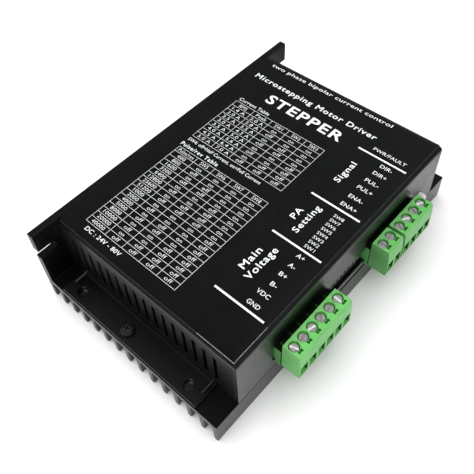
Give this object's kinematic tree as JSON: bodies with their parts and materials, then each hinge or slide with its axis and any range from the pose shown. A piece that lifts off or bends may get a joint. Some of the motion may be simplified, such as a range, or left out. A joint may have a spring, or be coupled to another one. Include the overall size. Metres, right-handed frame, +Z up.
{
  "type": "stepper driver module",
  "caption": "Boxed motor driver on a finned L-shaped heatsink, with vented sheet cover, pluggable screw terminal blocks, slide switch and status light.",
  "frame": {"origin": "centre of the whole bounding box, on the plane of the fin tips", "axes": "+X along the heatsink fins, +Y towards the upright mounting wall, -Y the terminal side, +Z up from the fin tips to the label"},
  "size_m": [0.151, 0.1062, 0.0436],
  "materials": {
    "anodised_aluminium": "black anodised, fine saw and extrusion lines",
    "black_plastic": "moulded black",
    "board_laminate": "green solder mask",
    "capacitor_sleeve": "shrink sleeve",
    "clear_lens": "milky clear lens",
    "green_plastic": "moulded, slightly translucent green",
    "grey_silicone": "soft grey pad",
    "label_film": "matt black printed film with white print",
    "plated_brass": "tin plated",
    "plated_steel": "bright zinc plated",
    "satin_paint": "satin black powder coat on folded sheet",
    "white_plastic": "moulded white"
  },
  "bodies": {
    "module": {"board_screw_1": "plated_steel", "board_screw_2": "plated_steel", "board_screw_3": "plated_steel", "board_screw_4": "plated_steel", "capacitor_1": "capacitor_sleeve", "capacitor_2": "capacitor_sleeve", "circuit_board": "board_laminate", "clamp_bar": "plated_steel", "clamp_screw_1": "plated_steel", "clamp_screw_2": "plated_steel", "controller_chip": "black_plastic", "cover": "satin_paint", "cover_screw_1": "plated_steel", "cover_screw_2": "plated_steel", "heatsink": "anodised_aluminium", "label_overlay": "label_film", "power_header": "green_plastic", "power_stage_1": "black_plastic", "power_stage_2": "black_plastic", "signal_header_a": "green_plastic", "signal_header_b": "green_plastic", "status_led": "clear_lens", "switch_housing": "black_plastic", "thermal_pad": "grey_silicone"},
    "power_plug": {"power_plug": "green_plastic"},
    "signal_plug_a": {"signal_plug_a": "green_plastic"},
    "signal_plug_b": {"signal_plug_b": "green_plastic"},
    "power_screw_1": {"power_screw_1": "plated_steel"},
    "power_cage_1": {"power_cage_1": "plated_brass"},
    "power_screw_2": {"power_screw_2": "plated_steel"},
    "power_cage_2": {"power_cage_2": "plated_brass"},
    "power_screw_3": {"power_screw_3": "plated_steel"},
    "power_cage_3": {"power_cage_3": "plated_brass"},
    "power_screw_4": {"power_screw_4": "plated_steel"},
    "power_cage_4": {"power_cage_4": "plated_brass"},
    "power_screw_5": {"power_screw_5": "plated_steel"},
    "power_cage_5": {"power_cage_5": "plated_brass"},
    "power_screw_6": {"power_screw_6": "plated_steel"},
    "power_cage_6": {"power_cage_6": "plated_brass"},
    "signal_screw_1": {"signal_screw_1": "plated_steel"},
    "signal_cage_1": {"signal_cage_1": "plated_brass"},
    "signal_screw_2": {"signal_screw_2": "plated_steel"},
    "signal_cage_2": {"signal_cage_2": "plated_brass"},
    "signal_screw_3": {"signal_screw_3": "plated_steel"},
    "signal_cage_3": {"signal_cage_3": "plated_brass"},
    "signal_screw_4": {"signal_screw_4": "plated_steel"},
    "signal_cage_4": {"signal_cage_4": "plated_brass"},
    "signal_screw_5": {"signal_screw_5": "plated_steel"},
    "signal_cage_5": {"signal_cage_5": "plated_brass"},
    "signal_screw_6": {"signal_screw_6": "plated_steel"},
    "signal_cage_6": {"signal_cage_6": "plated_brass"},
    "switch_slider_1": {"switch_slider_1": "white_plastic"},
    "switch_slider_2": {"switch_slider_2": "white_plastic"},
    "switch_slider_3": {"switch_slider_3": "white_plastic"},
    "switch_slider_4": {"switch_slider_4": "white_plastic"},
    "switch_slider_5": {"switch_slider_5": "white_plastic"},
    "switch_slider_6": {"switch_slider_6": "white_plastic"},
    "switch_slider_7": {"switch_slider_7": "white_plastic"},
    "switch_slider_8": {"switch_slider_8": "white_plastic"}
  },
  "joints": [
    {"name": "power_plug_pull", "type": "slide", "parent": "module", "child": "power_plug", "axis": [0, -1, 0], "range_m": [0, 0.0095]},
    {"name": "signal_plug_a_pull", "type": "slide", "parent": "module", "child": "signal_plug_a", "axis": [0, -1, 0], "range_m": [0, 0.0095]},
    {"name": "signal_plug_b_pull", "type": "slide", "parent": "module", "child": "signal_plug_b", "axis": [0, -1, 0], "range_m": [0, 0.0095]},
    {"name": "power_screw_1_turn", "type": "hinge", "parent": "power_plug", "child": "power_screw_1", "pos_m": [-0.04082, -0.04795, 0.02905], "axis": [0, 0, 1], "range_deg": [0, 1350]},
    {"name": "power_cage_1_rise", "type": "slide", "parent": "power_plug", "child": "power_cage_1", "axis": [0, 0, -1], "range_m": [0, 0.00187]},
    {"name": "power_screw_2_turn", "type": "hinge", "parent": "power_plug", "child": "power_screw_2", "pos_m": [-0.03574, -0.04795, 0.02905], "axis": [0, 0, 1], "range_deg": [0, 1350]},
    {"name": "power_cage_2_rise", "type": "slide", "parent": "power_plug", "child": "power_cage_2", "axis": [0, 0, -1], "range_m": [0, 0.00187]},
    {"name": "power_screw_3_turn", "type": "hinge", "parent": "power_plug", "child": "power_screw_3", "pos_m": [-0.03066, -0.04795, 0.02905], "axis": [0, 0, 1], "range_deg": [0, 1350]},
    {"name": "power_cage_3_rise", "type": "slide", "parent": "power_plug", "child": "power_cage_3", "axis": [0, 0, -1], "range_m": [0, 0.00187]},
    {"name": "power_screw_4_turn", "type": "hinge", "parent": "power_plug", "child": "power_screw_4", "pos_m": [-0.02558, -0.04795, 0.02905], "axis": [0, 0, 1], "range_deg": [0, 1350]},
    {"name": "power_cage_4_rise", "type": "slide", "parent": "power_plug", "child": "power_cage_4", "axis": [0, 0, -1], "range_m": [0, 0.00187]},
    {"name": "power_screw_5_turn", "type": "hinge", "parent": "power_plug", "child": "power_screw_5", "pos_m": [-0.0205, -0.04795, 0.02905], "axis": [0, 0, 1], "range_deg": [0, 1350]},
    {"name": "power_cage_5_rise", "type": "slide", "parent": "power_plug", "child": "power_cage_5", "axis": [0, 0, -1], "range_m": [0, 0.00187]},
    {"name": "power_screw_6_turn", "type": "hinge", "parent": "power_plug", "child": "power_screw_6", "pos_m": [-0.01542, -0.04795, 0.02905], "axis": [0, 0, 1], "range_deg": [0, 1350]},
    {"name": "power_cage_6_rise", "type": "slide", "parent": "power_plug", "child": "power_cage_6", "axis": [0, 0, -1], "range_m": [0, 0.00187]},
    {"name": "signal_screw_1_turn", "type": "hinge", "parent": "signal_plug_a", "child": "signal_screw_1", "pos_m": [0.01539, -0.04695, 0.02905], "axis": [0, 0, 1], "range_deg": [0, 1350]},
    {"name": "signal_cage_1_rise", "type": "slide", "parent": "signal_plug_a", "child": "signal_cage_1", "axis": [0, 0, -1], "range_m": [0, 0.00187]},
    {"name": "signal_screw_2_turn", "type": "hinge", "parent": "signal_plug_a", "child": "signal_screw_2", "pos_m": [0.02047, -0.04695, 0.02905], "axis": [0, 0, 1], "range_deg": [0, 1350]},
    {"name": "signal_cage_2_rise", "type": "slide", "parent": "signal_plug_a", "child": "signal_cage_2", "axis": [0, 0, -1], "range_m": [0, 0.00187]},
    {"name": "signal_screw_3_turn", "type": "hinge", "parent": "signal_plug_b", "child": "signal_screw_3", "pos_m": [0.02694, -0.04695, 0.02905], "axis": [0, 0, 1], "range_deg": [0, 1350]},
    {"name": "signal_cage_3_rise", "type": "slide", "parent": "signal_plug_b", "child": "signal_cage_3", "axis": [0, 0, -1], "range_m": [0, 0.00187]},
    {"name": "signal_screw_4_turn", "type": "hinge", "parent": "signal_plug_b", "child": "signal_screw_4", "pos_m": [0.03202, -0.04695, 0.02905], "axis": [0, 0, 1], "range_deg": [0, 1350]},
    {"name": "signal_cage_4_rise", "type": "slide", "parent": "signal_plug_b", "child": "signal_cage_4", "axis": [0, 0, -1], "range_m": [0, 0.00187]},
    {"name": "signal_screw_5_turn", "type": "hinge", "parent": "signal_plug_b", "child": "signal_screw_5", "pos_m": [0.0371, -0.04695, 0.02905], "axis": [0, 0, 1], "range_deg": [0, 1350]},
    {"name": "signal_cage_5_rise", "type": "slide", "parent": "signal_plug_b", "child": "signal_cage_5", "axis": [0, 0, -1], "range_m": [0, 0.00187]},
    {"name": "signal_screw_6_turn", "type": "hinge", "parent": "signal_plug_b", "child": "signal_screw_6", "pos_m": [0.04218, -0.04695, 0.02905], "axis": [0, 0, 1], "range_deg": [0, 1350]},
    {"name": "signal_cage_6_rise", "type": "slide", "parent": "signal_plug_b", "child": "signal_cage_6", "axis": [0, 0, -1], "range_m": [0, 0.00187]},
    {"name": "switch_slider_1_slide", "type": "slide", "parent": "module", "child": "switch_slider_1", "axis": [0, 0, -1], "range_m": [0, 0.002]},
    {"name": "switch_slider_2_slide", "type": "slide", "parent": "module", "child": "switch_slider_2", "axis": [0, 0, -1], "range_m": [0, 0.002]},
    {"name": "switch_slider_3_slide", "type": "slide", "parent": "module", "child": "switch_slider_3", "axis": [0, 0, -1], "range_m": [0, 0.002]},
    {"name": "switch_slider_4_slide", "type": "slide", "parent": "module", "child": "switch_slider_4", "axis": [0, 0, -1], "range_m": [0, 0.002]},
    {"name": "switch_slider_5_slide", "type": "slide", "parent": "module", "child": "switch_slider_5", "axis": [0, 0, -1], "range_m": [0, 0.002]},
    {"name": "switch_slider_6_slide", "type": "slide", "parent": "module", "child": "switch_slider_6", "axis": [0, 0, -1], "range_m": [0, 0.002]},
    {"name": "switch_slider_7_slide", "type": "slide", "parent": "module", "child": "switch_slider_7", "axis": [0, 0, -1], "range_m": [0, 0.002]},
    {"name": "switch_slider_8_slide", "type": "slide", "parent": "module", "child": "switch_slider_8", "axis": [0, 0, -1], "range_m": [0, 0.002]}
  ],
  "couplings": [
    {"joint": "power_screw_1_turn", "follows": "power_cage_1_rise", "rad_per_m": 12566},
    {"joint": "power_screw_2_turn", "follows": "power_cage_2_rise", "rad_per_m": 12566},
    {"joint": "power_screw_3_turn", "follows": "power_cage_3_rise", "rad_per_m": 12566},
    {"joint": "power_screw_4_turn", "follows": "power_cage_4_rise", "rad_per_m": 12566},
    {"joint": "power_screw_5_turn", "follows": "power_cage_5_rise", "rad_per_m": 12566},
    {"joint": "power_screw_6_turn", "follows": "power_cage_6_rise", "rad_per_m": 12566},
    {"joint": "signal_screw_1_turn", "follows": "signal_cage_1_rise", "rad_per_m": 12566},
    {"joint": "signal_screw_2_turn", "follows": "signal_cage_2_rise", "rad_per_m": 12566},
    {"joint": "signal_screw_3_turn", "follows": "signal_cage_3_rise", "rad_per_m": 12566},
    {"joint": "signal_screw_4_turn", "follows": "signal_cage_4_rise", "rad_per_m": 12566},
    {"joint": "signal_screw_5_turn", "follows": "signal_cage_5_rise", "rad_per_m": 12566},
    {"joint": "signal_screw_6_turn", "follows": "signal_cage_6_rise", "rad_per_m": 12566}
  ]
}
